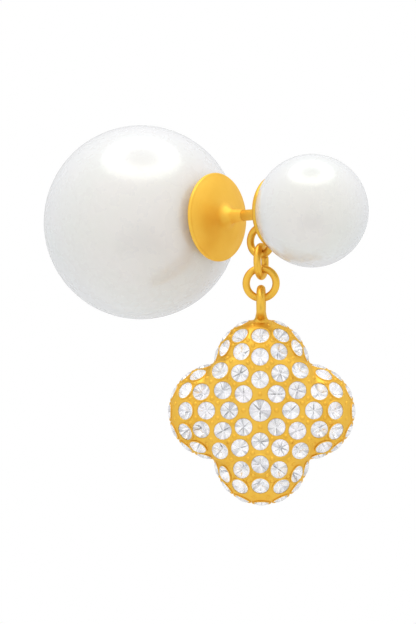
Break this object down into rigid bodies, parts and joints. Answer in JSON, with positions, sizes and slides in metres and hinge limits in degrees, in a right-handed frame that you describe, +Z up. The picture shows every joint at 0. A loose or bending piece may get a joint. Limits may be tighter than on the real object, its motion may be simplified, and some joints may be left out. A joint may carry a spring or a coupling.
{
  "type": "ear jacket earring",
  "caption": "Earring with a small pearl before the ear lobe and a large one behind it on one post, and a stone-set quatrefoil drop hanging on wire rings.",
  "frame": {"origin": "on the ear post's axis, in the middle of the gap that the ear lobe fills", "axes": "+Y along the ear post from the small front pearl to the large back pearl, +Z up as worn, the drop hanging along -Z"},
  "size_m": [0.016, 0.0305, 0.0313],
  "materials": {
    "gold": "polished yellow gold plating on brass",
    "pearl": "white imitation pearl with a soft nacre gloss",
    "crystal": "clear cut crystal, brilliant facets"
  },
  "bodies": {
    "stud": {"front_setting": "gold", "front_pearl": "pearl"},
    "back": {"back_setting": "gold", "back_pearl": "pearl"},
    "drop": {"upper_link": "gold", "lower_link": "gold"},
    "pendant": {"pendant_bail": "gold", "pendant_body": "gold", "centre_stone": "crystal", "pave_front": "crystal", "pave_rim": "crystal"}
  },
  "joints": [
    {"name": "back_pull", "type": "slide", "parent": "stud", "child": "back", "axis": [0, 1, 0], "range_m": [0, 0.012]},
    {"name": "drop_swing", "type": "hinge", "parent": "stud", "child": "drop", "pos_m": [0, -0.0015, -0.00325], "axis": [0, 1, 0], "range_deg": [-60, 60]},
    {"name": "pendant_swing", "type": "hinge", "parent": "drop", "child": "pendant", "pos_m": [0, -0.0015, -0.00675], "axis": [0.6018, -0.7986, 0], "range_deg": [-60, 60]}
  ]
}
